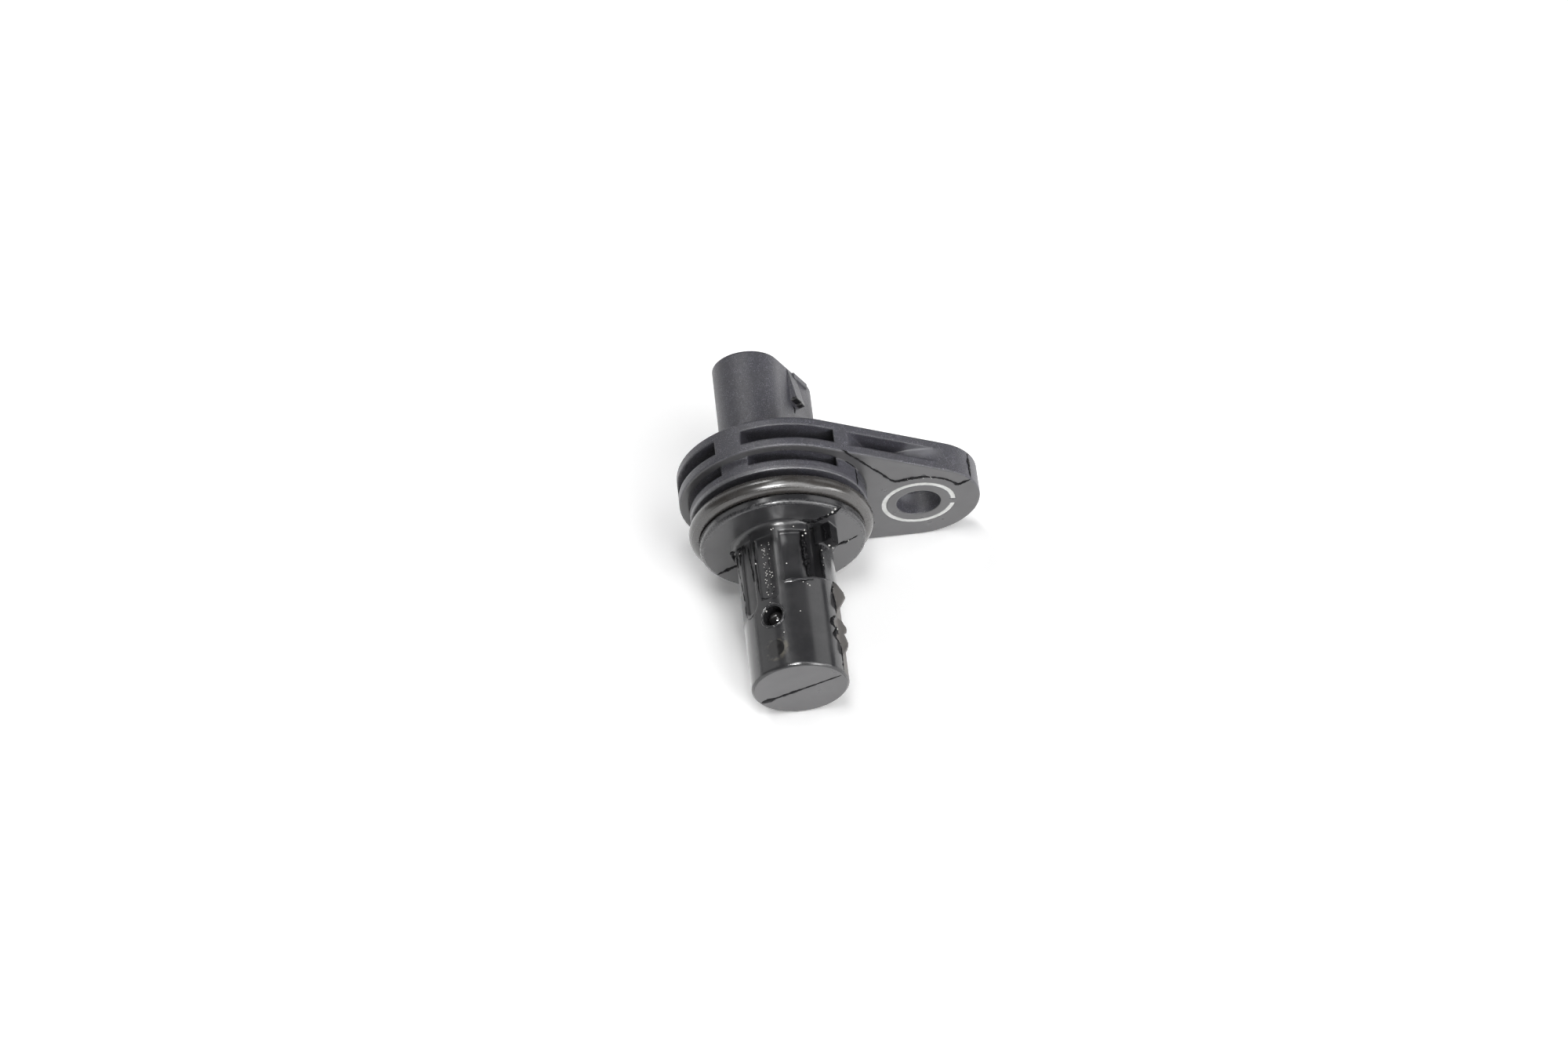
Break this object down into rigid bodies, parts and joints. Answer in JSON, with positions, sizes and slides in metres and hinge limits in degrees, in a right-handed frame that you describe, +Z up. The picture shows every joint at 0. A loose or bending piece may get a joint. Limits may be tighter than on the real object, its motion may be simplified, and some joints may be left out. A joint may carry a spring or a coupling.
{
  "type": "camshaft position sensor",
  "caption": "Camshaft position sensor lying on its side: round nose with O-ring, flange with a bushed bolt ear, and an oval plug shroud with blade terminals.",
  "frame": {"origin": "on the table, under the middle of the sensor's box", "axes": "+Z up from the table, the nose points along -Y and dips to the table, the bolt ear points along +X"},
  "size_m": [0.0442, 0.0544, 0.0295],
  "materials": {
    "housing_plastic": "dark glass-filled nylon, matte on flange and plug, glossy on the nose",
    "carrier_plastic": "black moulded plastic, glossy pins",
    "seal_rubber": "brown-grey fluoro rubber, satin",
    "bush_steel": "sawn steel, dull",
    "terminal_brass": "tinned brass",
    "lead_metal": "tinned copper",
    "capacitor_ceramic": "ceramic",
    "chip_package": "black moulded package",
    "plate_steel": "pressed steel",
    "magnet_metal": "sintered magnet, plated"
  },
  "bodies": {
    "root": {"sensor_housing": "housing_plastic", "o_ring_seal": "seal_rubber", "mounting_bush": "bush_steel", "terminal_supply": "terminal_brass", "terminal_ground": "terminal_brass", "terminal_signal": "terminal_brass", "chip_lead_supply": "lead_metal", "chip_lead_ground": "lead_metal", "chip_lead_signal": "lead_metal", "capacitor_supply": "capacitor_ceramic", "capacitor_signal": "capacitor_ceramic", "hall_chip": "chip_package", "pole_plate": "plate_steel", "bias_magnet": "magnet_metal", "element_carrier": "carrier_plastic"}
  },
  "joints": []
}
